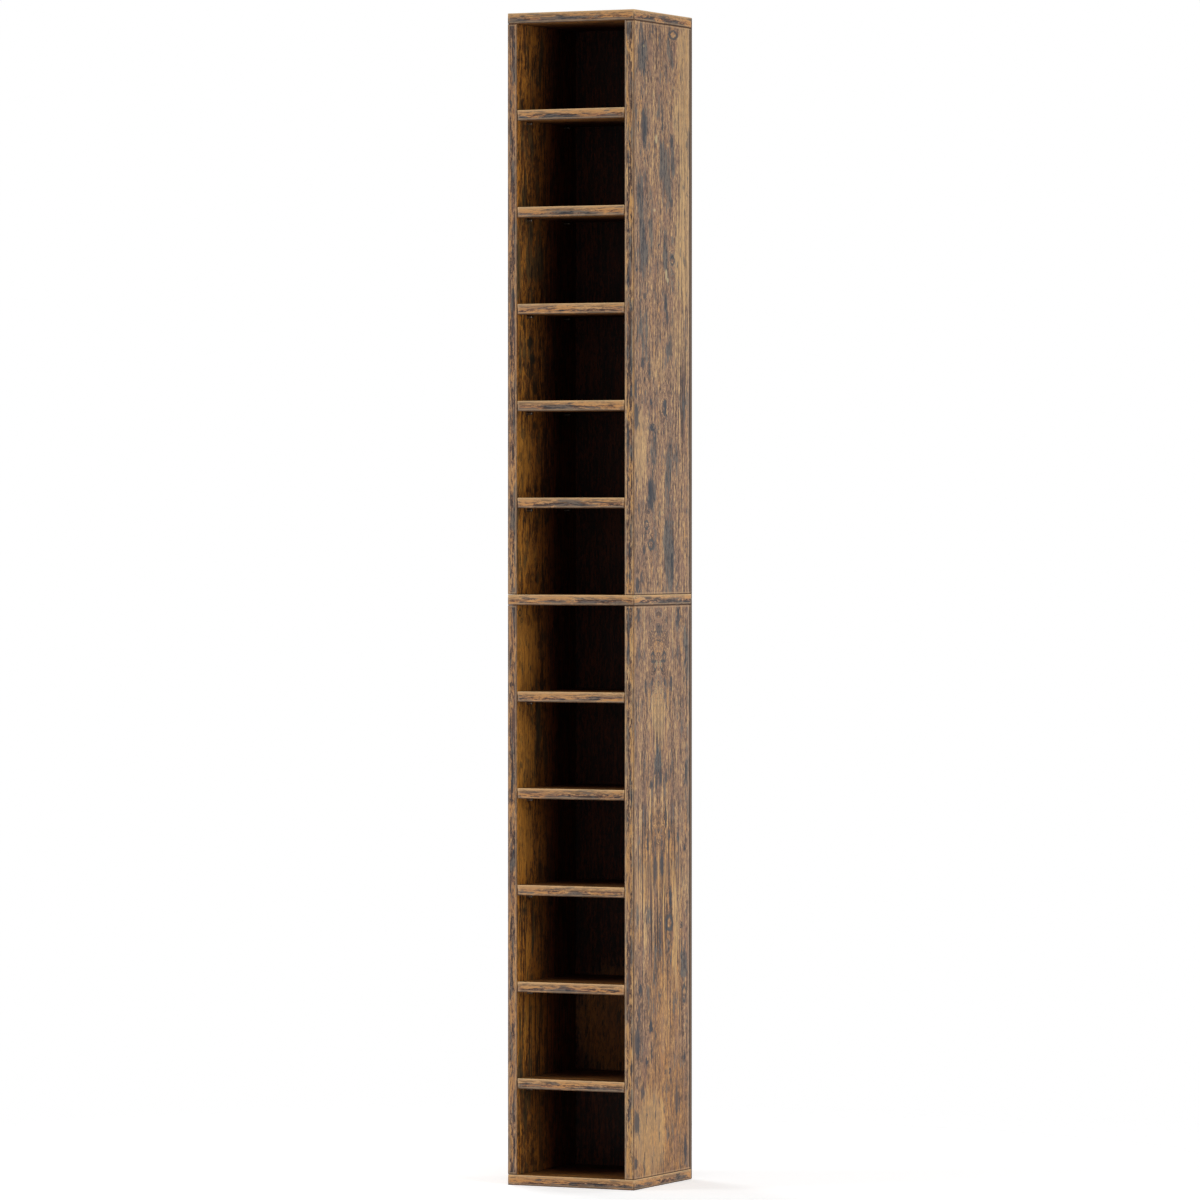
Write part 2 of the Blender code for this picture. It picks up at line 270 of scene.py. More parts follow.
def mix(tree, share, first, second, way="MIX"):
    """The second colour laid over the first in some share."""
    made = add(tree, "Mix", data_type="RGBA", blend_type=way)
    give(tree, made.inputs[0], share)
    give(tree, made.inputs[6], first)
    give(tree, made.inputs[7], second)
    return made.outputs[2]


def vector(tree, operation, first, second):
    """The result of an operation on two vectors."""
    inputs = {0: first, 1: second}
    return add(tree, "VectorMath", inputs, operation=operation).outputs["Vector"]


def parts(tree, place):
    """The X, Y and Z of a place."""
    return add(tree, "SeparateXYZ", {"Vector": place}).outputs


def point(tree, x, y=0.0):
    """A flat place with its X and Y."""
    return add(tree, "CombineXYZ", {"X": x, "Y": y}).outputs["Vector"]


def total(tree, first, *others):
    """The sum of several values."""
    for other in others:
        first = maths(tree, "ADD", first, other)
    return first


def most(tree, masks):
    """The largest of several masks."""
    found = 0.0
    for mask in masks:
        found = maths(tree, "MAXIMUM", found, mask)
    return found


def off(tree, value, line):
    """How far a value is from a line, on either side of it."""
    return maths(tree, "ABSOLUTE", maths(tree, "SUBTRACT", value, line))


def centred(tree, noise, weight):
    """Noise about 0 instead of about a half, in some strength."""
    return times(tree, maths(tree, "SUBTRACT", noise, 0.5), weight)


def flat_noise(tree, place, across, along, detail=2.0, roughness=0.5):
    """Noise on a surface, with the width and the length of its blotches in metres."""
    stretched = vector(tree, "MULTIPLY", place, (1 / across, 1 / along, 0))
    inputs = {"Vector": stretched, "Scale": 1.0, "Detail": detail, "Roughness": roughness}
    return add(tree, "TexNoise", inputs, noise_dimensions="2D").outputs["Fac"]


def push(tree, place, across, along, far):
    """Offsets from noise of such blotches, up to half of far each way, that bend a figure."""
    stretched = vector(tree, "DIVIDE", place, (across, along, 1.0))
    inputs = {"Vector": stretched, "Scale": 1.0}
    noise = add(tree, "TexNoise", inputs, noise_dimensions="2D").outputs["Color"]
    return vector(tree, "MULTIPLY", vector(tree, "SUBTRACT", noise, (0.5, 0.5, 0.5)), far)


def ramp(tree, value, stops):
    """Colours at points between 0 and 1, and their mixtures in between."""
    made = add(tree, "ValToRGB", {"Fac": value})
    band = made.color_ramp
    for _ in stops[2:]:
        band.elements.new(0.5)
    for element, (position, colour) in zip(band.elements, stops):
        element.position = position
        element.color = colour
    return made.outputs["Color"]


def new_group(name, takes, gives):
    """A node group with named inputs and their usual values, and with named outputs."""
    kinds = {1: "NodeSocketFloat", 3: "NodeSocketVector", 4: "NodeSocketColor"}
    group = bpy.data.node_groups.new(name, "ShaderNodeTree")
    for socket, value in takes.items():
        size = len(value) if isinstance(value, tuple) else 1
        made = group.interface.new_socket(socket, in_out="INPUT", socket_type=kinds[size])
        made.default_value = value
    for socket, size in gives.items():
        group.interface.new_socket(socket, in_out="OUTPUT", socket_type=kinds[size])
    taken = group.nodes.new("NodeGroupInput").outputs
    given = group.nodes.new("NodeGroupOutput").inputs
    return group, taken, given


def use(tree, group, inputs):
    """A node group placed in a tree, with its own inputs."""
    made = tree.nodes.new("ShaderNodeGroup")
    made.node_tree = group
    for name, value in inputs.items():
        give(tree, made.inputs[name], value)
    return made.outputs


def make_soft_patch():
    """An oval patch, 1 in its middle and 0 from its rim on."""
    tree, taken, given = new_group(
        "soft patch",
        {"Place": (0.0, 0.0, 0.0), "Middle": (0.0, 0.0, 0.0), "Reach": (1.0, 1.0, 1.0)},
        {"Patch": 1},
    )
    away = vector(tree, "SUBTRACT", taken["Place"], taken["Middle"])
    away = length(tree, vector(tree, "DIVIDE", away, taken["Reach"]))
    give(tree, given["Patch"], fall(tree, away, 0.55, 1.0))
    return tree


def make_knot():
    """A knot: a dark ring round a brown heart, and how far the grain swings aside for it."""
    tree, taken, given = new_group(
        "knot",
        {"Away": (0.0, 0.0, 0.0), "Radius": 0.01, "Ragged": 0.5},
        {"Ring": 1, "Heart": 1, "Swing": 1},
    )
    away, radius = taken["Away"], taken["Radius"]
    ragged = centred(tree, flat_noise(tree, away, 0.006, 0.009, detail=3), taken["Ragged"])
    radii = total(tree, maths(tree, "DIVIDE", length(tree, away), radius), ragged)
    give(tree, given["Ring"], fall(tree, off(tree, radii, 0.8), 0.08, 0.38))
    give(tree, given["Heart"], fall(tree, radii, 0.15, 0.75))
    drawn_out = length(tree, vector(tree, "MULTIPLY", away, (1.0, 0.3, 1.0)))
    near = fall(tree, maths(tree, "DIVIDE", drawn_out, radius), 0.4, 2.6)
    across = parts(tree, away)["X"]
    give(tree, given["Swing"], times(tree, times(tree, across, near), -0.7))
    return tree


soft_patch = make_soft_patch()
knot = make_knot()


def wild_knots(tree, place, amount):
    """Ring, heart and swing of the knots that lie in some cells of the decor."""
    cells = add(
        tree, "TexVoronoi", {"Vector": vector(tree, "DIVIDE", place, KNOT_CELL), "Scale": 1.0},
        voronoi_dimensions="2D",
    )
    middle = vector(tree, "MULTIPLY", cells.outputs["Position"], KNOT_CELL)
    chance = add(tree, "SeparateColor", {"Color": cells.outputs["Color"]})
    here = maths(tree, "GREATER_THAN", chance.outputs["Red"], EMPTY_CELLS)
    here = times(tree, here, amount)
    least, greatest = WILD_KNOT
    size = {"Value": chance.outputs["Green"], "To Min": least, "To Max": greatest}
    drawn = use(tree, knot, {
        "Away": vector(tree, "SUBTRACT", place, middle), "Ragged": 0.7,
        "Radius": add(tree, "MapRange", size).outputs["Result"],
    })
    return [times(tree, drawn[part], here) for part in ("Ring", "Heart", "Swing")]


def grain_figure(tree, place):
    """The noises of the grain, from broad bands to a fine crackle, and its light zones."""
    zones = flat_noise(tree, place, 0.016, 0.085)
    return {
        "bands": flat_noise(tree, place, 0.045, 0.35),
        "streaks": flat_noise(tree, place, 0.0085, 0.110, detail=5, roughness=0.68),
        "lines": flat_noise(tree, place, 0.0046, 0.036, detail=3, roughness=0.55),
        "crackle": flat_noise(tree, place, 0.0032, 0.0100, detail=4, roughness=0.75),
        "stripes": flat_noise(tree, place, 0.0050, 0.260),
        "zones": rise(tree, zones, 0.42, 0.56),
    }


def oak_tone(tree, grain, taken):
    """How dark or light the oak is, where a half is its middle brown."""
    bold = taken["Bold"]
    lined = times_plus(tree, bold, 0.55, 0.65)
    striped = times_plus(tree, taken["Striped"], 2.3, 0.4)
    zoned = times_plus(tree, grain["zones"], 0.16, -0.08)
    tone = total(
        tree, centred(tree, grain["bands"], 0.30), centred(tree, grain["streaks"], 0.34),
        centred(tree, grain["lines"], lined), centred(tree, grain["crackle"], 1.40),
        centred(tree, grain["stripes"], striped), times(tree, zoned, bold),
    )
    contrast = times_plus(tree, bold, 0.75, 1.0)
    contrast = times_plus(tree, taken["Golden"], -0.24, contrast)
    tone = times_plus(tree, tone, contrast, 0.5)
    return times_plus(tree, taken["Pale"], 0.11, tone)


def tint_oak(tree, oak, place, zones, tone, taken):
    """The oak with its golden, rosy and pale areas."""
    golden = taken["Golden"]
    gilt = times(tree, zones, taken["Bold"])
    gold = rise(tree, flat_noise(tree, place, 0.0055, 0.060, detail=3), 0.50, 0.66)
    warm = rise(tree, flat_noise(tree, place, 0.05, 0.26), 0.40, 0.60)
    gold = times(tree, most(tree, [gold, gilt]), most(tree, [warm, gilt, golden]))
    gold = times(tree, gold, rise(tree, tone, 0.40, 0.60))
    oak = mix(tree, times(tree, gold, 0.62), oak, GOLD)
    oak = mix(tree, times(tree, golden, 0.8), oak, GOLDEN_WASH, "MULTIPLY")
    rose = rise(tree, flat_noise(tree, place, 0.016, 0.080), 0.52, 0.70)
    oak = mix(tree, times(tree, rose, 0.34), oak, ROSE)
    cream = rise(tree, taken["Pale"], 0.40, 0.60)
    return mix(tree, times(tree, cream, 0.38), oak, CREAM)


def smudge_oak(tree, oak, place, grain, taken):
    """The oak with its slate-coloured smudges and dashes and its dark flecks, and the slate."""
    lines, crackle, bold = grain["lines"], grain["crackle"], taken["Bold"]
    smudge = total(
        tree, flat_noise(tree, place, 0.022, 0.075, detail=4, roughness=0.6),
        centred(tree, grain["streaks"], 0.60), centred(tree, lines, 0.55),
        centred(tree, crackle, 0.36),
    )
    smudge = times_plus(tree, taken["Slate"], 0.33, smudge)
    smudge = times_plus(tree, taken["Pale"], -0.08, smudge)
    in_dark_zones = times_plus(tree, grain["zones"], -0.11, 0.11)
    smudge = times_plus(tree, bold, in_dark_zones, smudge)
    dashes = flat_noise(tree, place, 0.0075, 0.042, detail=4, roughness=0.6)
    dashes = times_plus(tree, bold, 0.025, dashes)
    dashes = times(tree, rise(tree, dashes, 0.615, 0.665), 0.9)
    slate = maths(tree, "MAXIMUM", rise(tree, smudge, 0.660, 0.740), dashes)
    shade = rise(tree, total(tree, lines, centred(tree, crackle, 0.8)), 0.40, 0.60)
    shade = mix(tree, shade, DARK_SLATE, PALE_SLATE)
    oak = mix(tree, times(tree, slate, 0.82), oak, shade)
    fleck = times(tree, taken["Fleck"], times_plus(tree, crackle, 0.6, 0.6))
    return mix(tree, fleck, oak, FLECK), slate


def make_aged_oak():
    """The printed decor, with the grain along the second coordinate of the place.

    Pale, Golden, Striped, Slate, Fleck, Chip and Ring draw their marks where they are 1, and
    Swirl curls the grain there. Knots is the strength of wild knots, and Bold adds contrast.
    """
    tree, taken, given = new_group(
        "aged oak decor",
        {
            "Place": (0.0, 0.0, 0.0), "Pale": 0.0, "Slate": 0.0, "Striped": 0.0, "Swirl": 0.0,
            "Ring": 0.0, "Chip": 0.0, "Fleck": 0.0, "Golden": 0.0, "Knots": 1.0, "Bold": 0.0,
        },
        {"Color": 4, "Relief": 1, "Slate": 1},
    )
    printed = taken["Place"]

    # The grain swings round the knots, wanders a little, and curls where it is told to
    ring, heart, swing = wild_knots(tree, printed, taken["Knots"])
    wander = centred(tree, flat_noise(tree, printed, 0.04, 0.15), 0.008)
    curl = push(tree, printed, 0.011, 0.013, (0.03, 0.05, 0))
    curl = add(tree, "VectorMath", {0: curl, "Scale": taken["Swirl"]}, operation="SCALE").outputs[0]
    aside = point(tree, total(tree, swing, wander))
    place = vector(tree, "ADD", vector(tree, "ADD", printed, aside), curl)
    grain = grain_figure(tree, place)
    tone = oak_tone(tree, grain, taken)
    oak = tint_oak(tree, ramp(tree, tone, OAK_TONES), place, grain["zones"], tone, taken)
    oak, slate = smudge_oak(tree, oak, place, grain, taken)

    # Cracks: long and very fine dark lines
    crack = flat_noise(tree, place, 0.016, 0.30, detail=3)
    crack = fall(tree, off(tree, crack, 0.5), 0.002, 0.014)
    oak = mix(tree, times(tree, crack, 0.35), oak, CRACK)

    # Knots, pale chips, and the pores over all
    oak = mix(tree, times(tree, heart, 0.5), oak, KNOT_HEART)
    ring = maths(tree, "MAXIMUM", ring, taken["Ring"])
    ring = times(tree, ring, times_plus(tree, grain["crackle"], 0.7, 0.5))
    oak = mix(tree, ring, oak, KNOT_RING)
    oak = mix(tree, taken["Chip"], oak, CHIP)
    pores = rise(tree, flat_noise(tree, place, 0.0007, 0.012, detail=1), 0.60, 0.72)
    oak = mix(tree, times(tree, pores, 0.30), oak, PORE)
    relief = times_plus(tree, grain["lines"], 0.8, times(tree, pores, -0.5))
    give(tree, given["Color"], oak)
    give(tree, given["Relief"], times_plus(tree, crack, -0.6, relief))
    give(tree, given["Slate"], slate)
    return tree


def make_arris():
    """Where a board between two corners has its arrises, and the painted highlight line beside
    them.
    """
    tree, taken, given = new_group(
        "arris",
        {"Place": (0.0, 0.0, 0.0), "Low": (0.0, 0.0, 0.0), "High": (0.0, 0.0, 0.0)},
        {"Arris": 1, "Seam": 1},
    )
    above = vector(tree, "SUBTRACT", taken["Place"], taken["Low"])
    below = vector(tree, "SUBTRACT", taken["High"], taken["Place"])
    x, y, z = parts(tree, vector(tree, "MINIMUM", above, below))
    # The second smallest of the three distances is the one to the nearest arris
    lesser = maths(tree, "MINIMUM", maths(tree, "MAXIMUM", x, y), z)
    second = maths(tree, "MAXIMUM", maths(tree, "MINIMUM", x, y), lesser)
    give(tree, given["Arris"], fall(tree, second, *ARRIS_BAND))
    give(tree, given["Seam"], fall(tree, off(tree, second, HIGHLIGHT_LINE_AT), *HIGHLIGHT_LINE_FADE))
    return tree


aged_oak = make_aged_oak()
arris = make_arris()


def coat(tree, shader, colour, roughness, relief, strength, depth):
    """Give a finish its colour and roughness, and press in a relief with a depth in metres."""
    bump = add(tree, "Bump", {"Height": relief, "Strength": strength, "Distance": depth})
    give(tree, shader.inputs["Base Color"], colour)
    give(tree, shader.inputs["Roughness"], roughness)
    give(tree, shader.inputs["Normal"], bump.outputs["Normal"])


def decor_finish(tree, shader, colour, relief, slate, place, low, high, rim, inside):
    """Arrises in colours that are part wear and part painted highlight and shade, a painted
    highlight line beside them, and the slight relief and sheen of the decor.
    """
    edges = use(tree, arris, {"Place": place, "Low": low, "High": high})
    outer = maths(tree, "SUBTRACT", 1.0, inside)
    colour = mix(tree, times(tree, times(tree, edges["Arris"], 0.80), outer), colour, rim)
    # A painted highlight: a pale line beside each arris on the outer faces
    colour = mix(tree, times(tree, times(tree, edges["Seam"], 0.4), outer), colour, PAINTED_EDGE_HIGHLIGHT)
    roughness = times_plus(tree, relief, 0.06, times_plus(tree, slate, 0.10, 0.52))
    coat(tree, shader, colour, roughness, relief, strength=0.35, depth=0.00012)


def paint_bay_shade(tree, colour, place, inside):
    """Painted shade inside the bays: a warm tint at their mouth that darkens the decor towards
    their rear.
    """
    depth = rise(tree, parts(tree, place)["Y"], BAY_SHADE_FROM, BAY_SHADE_TO)
    return mix(tree, inside, colour, mix(tree, depth, BAY_MOUTH_SHADE, BAY_END_SHADE), "MULTIPLY")


def from_seed(tree, sheet, seed):
    """A sheet cut from its own part of the decor."""
    return vector(tree, "ADD", sheet, (seed, SEED_UP * seed, 0))


def set_apart(tree, sheet, strip, other, seed):
    """A sheet from its own part of the decor, and its strip and its other face from elsewhere."""
    aside = times_plus(tree, strip, STRIP_ASIDE, times(tree, other, FACE_ASIDE))
    return from_seed(tree, vector(tree, "ADD", sheet, point(tree, aside, aside)), seed)


def across_grain(tree, first, second, strip):
    """Place across the grain on two sides of a board, with a finer figure on the strip."""
    finer = times_plus(tree, strip, 0.5, 1.0)
    return times(tree, total(tree, first, second), finer)


def metres(drawn):
    """Marks drawn in millimetres as the shader reads them. The last value of each is a share."""
    return [(*(size / 1000 for size in mark[:-1]), mark[-1]) for mark in drawn]


def patches(tree, spot, drawn):
    """Soft patches drawn as (place across, height, half width, half length, strength)."""
    return most(tree, [
        times(tree, strength, use(tree, soft_patch, {
            "Place": spot, "Middle": (across, height, 0), "Reach": (wide, long, 1),
        })["Patch"])
        for across, height, wide, long, strength in metres(drawn)
    ])


def drawn_knots(tree, spot, knots):
    """Ring and swing of knots drawn as (place across, height, radius, squeeze)."""
    rings, swing = [], 0.0
    for across, height, radius, squeeze in metres(knots):
        away = vector(tree, "SUBTRACT", spot, (across, height, 0))
        away = vector(tree, "MULTIPLY", away, (1, squeeze, 1))
        drawn = use(tree, knot, {"Away": away, "Radius": radius, "Ragged": 0.6})
        rings.append(drawn["Ring"])
        swing = total(tree, swing, drawn["Swing"])
    return most(tree, rings), swing


def drawn_marks(tree, sheet, spot, shown, knots, marked):
    """The decor's inputs for what is drawn on one face: knots, and marks with torn rims."""
    frayed = centred(tree, flat_noise(tree, sheet, 0.014, 0.050, detail=3), 0.022)
    streaky = centred(tree, flat_noise(tree, sheet, 0.0045, 0.030, detail=3), 0.110)
    torn = vector(tree, "ADD", spot, point(tree, frayed, streaky))
    rough = vector(tree, "ADD", spot, push(tree, sheet, 0.004, 0.007, (0.007, 0.018, 0)))
    ring, swing = drawn_knots(tree, spot, knots)
    marks = {
        "Place": vector(tree, "ADD", sheet, point(tree, times(tree, swing, shown))),
        "Ring": times(tree, ring, shown), "Knots": 0.0 if knots else 1.0,
    }
    for mark, drawn in marked.items():
        at = {"Chip": spot, "Fleck": rough}.get(mark, torn)
        marks[mark] = times(tree, patches(tree, at, drawn), shown)
    return marks


def rear_edge(tree, colour, y, rear, outside):
    """The rear edge of a panel, sealed dark brown, and the pale line where its decor is trimmed."""
    line = fall(tree, off(tree, y, rear - TRIM_AT), *TRIM_FADE)
    colour = mix(tree, times(tree, times(tree, line, outside), 0.5), colour, TRIMMED)
    sealed = times(tree, rise(tree, y, rear - SEALED_FROM, rear - SEALED_TO), 0.94)
    return mix(tree, sealed, colour, SEALED)


def dress(name, material):
    """Give a CAD solid its finish."""
    nodes[name].data.materials.clear()
    nodes[name].data.materials.append(material)


def side_panel(name, seed, knots=(), mirror=None, **marked):
    """Decor for one side panel, with marks in millimetres on the face towards the front right.

    A mark's place across is its depth behind the front edge. A mirror is the depth of its line,
    and the two heights between which the mirror image comes in.
    """
    low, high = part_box(name)
    side = math.copysign(1, high.x + low.x)
    low.x, high.x = sorted((side * INNER_X, side * OUTER_X))
    material, tree, shader = new_material(f"{name}_decor")
    place = own_place(tree)
    x, y, z = parts(tree, place)
    strip = maths(tree, "LESS_THAN", y, FRONT_Y + ON_FACE)
    inside = maths(tree, "LESS_THAN", maths(tree, "ABSOLUTE", x), INNER_X + ON_FACE)
    outside = maths(tree, "SUBTRACT", 1.0, maths(tree, "MAXIMUM", strip, inside))
    sheet = point(tree, across_grain(tree, x, y, strip), z)
    sheet = set_apart(tree, sheet, strip, inside, seed)

    # From the front right, one sees the outside of a right panel and the inside of a left one
    shown = outside if side > 0 else inside
    depth = maths(tree, "SUBTRACT", y, FRONT_Y)
    marks = drawn_marks(tree, sheet, point(tree, depth, z), shown, knots, marked)
    marks["Bold"] = times_plus(tree, inside, 0.7, strip)

    # A strip is paler towards the left, and the left outside is more weathered
    leftwards = maths(tree, "SUBTRACT", x, (low.x + high.x) / 2)
    leftwards = times(tree, maths(tree, "DIVIDE", leftwards, BOARD), times(tree, strip, -0.8))
    marks["Pale"] = total(tree, marks["Pale"], leftwards)
    if side < 0:
        weathered = times(tree, outside, flat_noise(tree, sheet, 0.09, 0.22))
        marks["Slate"] = times_plus(tree, weathered, 0.6, marks["Slate"])
    oak = use(tree, aged_oak, marks)
    colour, relief = oak["Color"], oak["Relief"]
    if mirror:
        line, from_height, to_height = (size / 1000 for size in mirror)
        folded = vector(tree, "ADD", point(tree, off(tree, depth, line), z), (seed, 0, 0))
        matched = use(tree, aged_oak, {**marks, "Place": folded})
        upper = times(tree, rise(tree, z, from_height, to_height), outside)
        colour = mix(tree, upper, colour, matched["Color"])
        relief = add(tree, "Mix", {0: upper, 2: relief, 3: matched["Relief"]}).outputs[0]
    # Painted shade on the inner faces, darker towards the rear of the bays
    colour = paint_bay_shade(tree, colour, place, inside)
    if side < 0:
        colour = mix(tree, strip, colour, STRIP_WASH, "MULTIPLY")
    colour = rear_edge(tree, colour, y, high.y, outside)
    # Painted highlight on the inner arrises of a right panel, painted shade on all the others
    lit = maths(tree, "LESS_THAN", times(tree, x, side), INNER_X + 2 * ARRIS)
    rim = mix(tree, times(tree, lit, side > 0), SHADED_RIM, LIT_RIM)
    decor_finish(tree, shader, colour, relief, oak["Slate"], place, low, high, rim, inside)
    dress(name, material)


side_panel(
    "upper_left_side", seed=0.31,
    Slate=[(40, 1420, 70, 80, 0.5), (30, 1600, 30, 60, 0.35)],
    Fleck=[
        (45, 1295, 15, 12, 0.9), (53, 1270, 12, 14, 0.9), (47, 1247, 10, 12, 0.8),
        (62, 1226, 10, 14, 0.8), (38, 1216, 8, 10, 0.7), (18, 1325, 8, 8, 0.7),
        (60, 1168, 11, 9, 0.8), (12, 1120, 7, 10, 0.6),
    ],
    Pale=[(20, 1120, 50, 70, 0.6), (20, 970, 50, 60, 0.5)],
)
side_panel(
    "lower_left_side", seed=5.12,
    Slate=[(70, 700, 20, 60, 0.6), (30, 150, 40, 90, 0.35)],
    Pale=[
        (20, 820, 70, 100, 1.0), (15, 660, 60, 90, 1.0), (15, 530, 50, 80, 1.0),
        (20, 380, 40, 70, 0.4),
    ],
    Striped=[(60, 235, 110, 80, 0.9), (30, 385, 50, 75, 0.5)],
    knots=[(10, 880, 6, 1.0), (16, 868, 4, 1.0)],
)
side_panel(
    "upper_right_side", seed=8.43,
    Slate=[
        (25, 1730, 22, 55, 0.9), (33, 1530, 32, 40, 0.8), (40, 1450, 36, 80, 0.76),
        (125, 1730, 22, 38, 0.66), (117, 1555, 34, 85, 0.74), (30, 1305, 30, 40, 0.65),
        (36, 1623, 12, 45, 0.9), (113, 1430, 10, 50, 0.8), (70, 1125, 13, 36, 0.8),
        (61, 1060, 22, 34, 0.9), (122, 1110, 14, 80, 0.8), (125, 970, 24, 95, 0.82),
        (115, 1370, 10, 50, 0.8),
    ],
    Fleck=[
        (65, 1776, 4, 12.5, 0.8), (133, 1745, 4, 6.5, 0.8), (101, 1637, 4, 25, 0.9),
        (133, 1650, 4, 20, 0.7), (133, 1605, 8, 15, 0.9), (33, 1622, 12, 32.5, 0.7),
        (196, 1608, 5.5, 27.5, 0.8), (198, 1580, 4, 20, 0.8), (74, 1598, 4, 7.5, 0.8),
        (135, 1510, 5.5, 12.5, 0.8), (191, 1525, 4, 5, 0.7), (9, 1405, 5.5, 5, 1.0),
        (88, 1443, 5.5, 5, 0.9), (38, 1365, 8, 7.5, 0.8), (113, 1358, 7, 17.5, 0.8),
        (118, 1335, 7, 15, 0.8), (131, 1290, 8, 25, 0.7), (30, 1262, 8, 10, 0.9),
        (50, 1250, 4, 15, 0.8), (61, 1203, 5.5, 7.5, 1.0), (28, 1203, 4, 7.5, 0.7),
        (111, 1197, 5.5, 12.5, 1.0), (66, 1163, 13.5, 6, 1.0), (60, 1070, 12, 22, 0.8),
        (56, 1046, 13, 12, 0.8), (8, 1180, 11, 25, 0.9), (5, 1222, 7, 18.5, 0.9),
        (10, 1083, 4, 7.5, 0.8), (15, 1043, 4, 10, 0.8), (36, 977, 5.5, 12.5, 0.8),
        (11, 923, 7, 17.5, 0.9), (28, 937, 4, 12.5, 0.8), (193, 980, 2.5, 15, 0.8),
        (163, 1207, 2.5, 12.5, 0.7),
    ],
    Pale=[
        (215, 1740, 78, 90, 1.0), (205, 1640, 82, 80, 1.0), (215, 1540, 74, 80, 1.0),
        (205, 1430, 80, 100, 1.0), (160, 1300, 60, 80, 0.5), (22, 1130, 34, 80, 0.6),
        (90, 1260, 50, 30, 0.5),
    ],
    Striped=[(180, 1250, 40, 200, 0.8), (180, 1500, 30, 200, 0.5)],
    Chip=[
        (79, 1606, 5, 9, 0.8), (115, 1400, 4, 10, 0.8), (120, 1391, 5, 5, 0.7),
        (73, 1497, 5, 3, 0.6), (34, 1746, 4, 3, 0.4),
    ],
    Swirl=[
        (108, 1200, 40, 50, 0.5), (55, 1000, 50, 50, 0.5), (135, 1770, 40, 40, 0.4),
        (137, 1425, 30, 40, 0.4),
    ],
    knots=[
        (139, 1769, 17, 2.3), (137, 1422, 8, 1.0), (109, 1195, 7, 0.55), (60, 985, 12, 1.4),
        (44, 1015, 8, 1.0),
    ],
)
side_panel(
    "lower_right_side", seed=11.07,
    Slate=[
        (190, 828, 14, 50, 1.1), (191, 638, 14, 40, 1.1), (198, 575, 8, 40, 1.0),
        (202, 740, 6, 40, 0.9), (86, 645, 18, 40, 0.7), (156, 872, 10, 22, 0.75),
        (70, 345, 14, 50, 0.55), (181, 336, 13, 30, 0.85),
    ],
    Fleck=[
        (89, 855, 16, 12.5, 0.7), (89, 838, 16, 3.5, 0.7), (15, 877, 5.5, 15, 0.8),
        (160, 873, 5.5, 15, 0.8), (40, 767, 5.5, 15, 0.9), (133, 770, 7, 15, 0.9),
        (65, 775, 4, 9, 0.9), (109, 775, 4, 9, 0.9), (78, 619, 5.5, 17.5, 0.8),
        (95, 625, 7, 15, 0.8), (60, 618, 7, 10, 0.9), (115, 627, 5.5, 15, 0.9),
        (131, 637, 4, 10, 0.8), (113, 567, 5.5, 22.5, 0.9), (61, 557, 4, 25, 0.8),
        (126, 538, 4, 11, 1.0), (47, 527, 4, 12.5, 0.9), (182, 515, 4, 5, 1.0),
        (158, 537, 4, 17.5, 0.8), (76, 487, 9.5, 27.5, 0.8), (98, 493, 9.5, 25, 0.9),
        (131, 443, 7, 17.5, 0.9), (92, 382, 4, 48, 1.0), (80, 326, 2.5, 25, 0.8),
        (126, 385, 8, 5, 0.6), (170, 397, 5.5, 3, 1.0), (23, 305, 8, 11, 1.0),
        (18, 267, 5.5, 17.5, 0.8), (60, 245, 8, 11, 1.0), (11, 225, 13.5, 30, 0.9),
        (46, 192, 5.5, 10, 1.0), (111, 173, 4, 6.5, 1.0), (129, 173, 4, 5, 1.0),
        (181, 192, 5.5, 7.5, 0.8), (11, 163, 4, 15, 0.8), (30, 147, 7, 12.5, 0.8),
        (123, 147, 8, 6.5, 0.5), (153, 128, 7, 32.5, 0.8), (8, 103, 15, 21.5, 0.9),
        (185, 50, 7, 27.5, 0.9), (4, 40, 11, 12.5, 0.9),
    ],
    Pale=[
        (87, 725, 32, 60, 0.8), (110, 270, 22, 90, 0.45), (60, 80, 80, 100, 0.6),
        (150, 370, 12, 110, 0.6),
    ],
    Golden=[(105, 80, 130, 180, 1.0), (110, 300, 80, 160, 0.8), (90, 500, 90, 100, 0.7)],
    Striped=[(80, 480, 110, 160, 1.0), (150, 330, 50, 120, 0.6), (87, 700, 40, 70, 0.6)],
    Chip=[(93, 802, 3, 6, 0.5), (81, 802, 3, 6, 0.5)],
    Swirl=[(87, 820, 45, 110, 1.0), (90, 545, 30, 30, 0.6)],
    knots=[
        (108, 812, 7, 0.8), (66, 812, 7, 0.8), (98, 800, 6, 0.7), (76, 800, 6, 0.7),
        (126, 402, 14, 1.1), (180, 290, 9, 0.6),
    ],
    mirror=(87, 440, 520),
)


# Top, middle and bottom board. Three boards of the same decor, as wide as the tower. The grain
# runs from side to side, and both ends are covered by strips whose grain runs along them.

EDGE_WASH = paint(252, 240, 232)
# Arris colours of the boards, part wear: painted shade on the lower arrises and a painted highlight
# on the upper ones
LOWER_RIM_SHADE = paint(96, 68, 44)
UPPER_RIM_HIGHLIGHT = paint(244, 206, 150)


def level_place(tree, place, seed):
    """Place on a grain that runs from side to side, or along the strip at an end."""
    x, y, z = parts(tree, place)
    strip = maths(tree, "LESS_THAN", y, FRONT_Y + ON_FACE)
    at_end = maths(tree, "GREATER_THAN", maths(tree, "ABSOLUTE", x), OUTER_X - ON_FACE)
    chosen = add(tree, "Mix", data_type="VECTOR")
    give(tree, chosen.inputs[0], at_end)
    give(tree, chosen.inputs[4], point(tree, across_grain(tree, y, z, strip), x))
    give(tree, chosen.inputs[5], point(tree, z, y))
    return set_apart(tree, chosen.outputs[1], strip, at_end, seed), strip, at_end


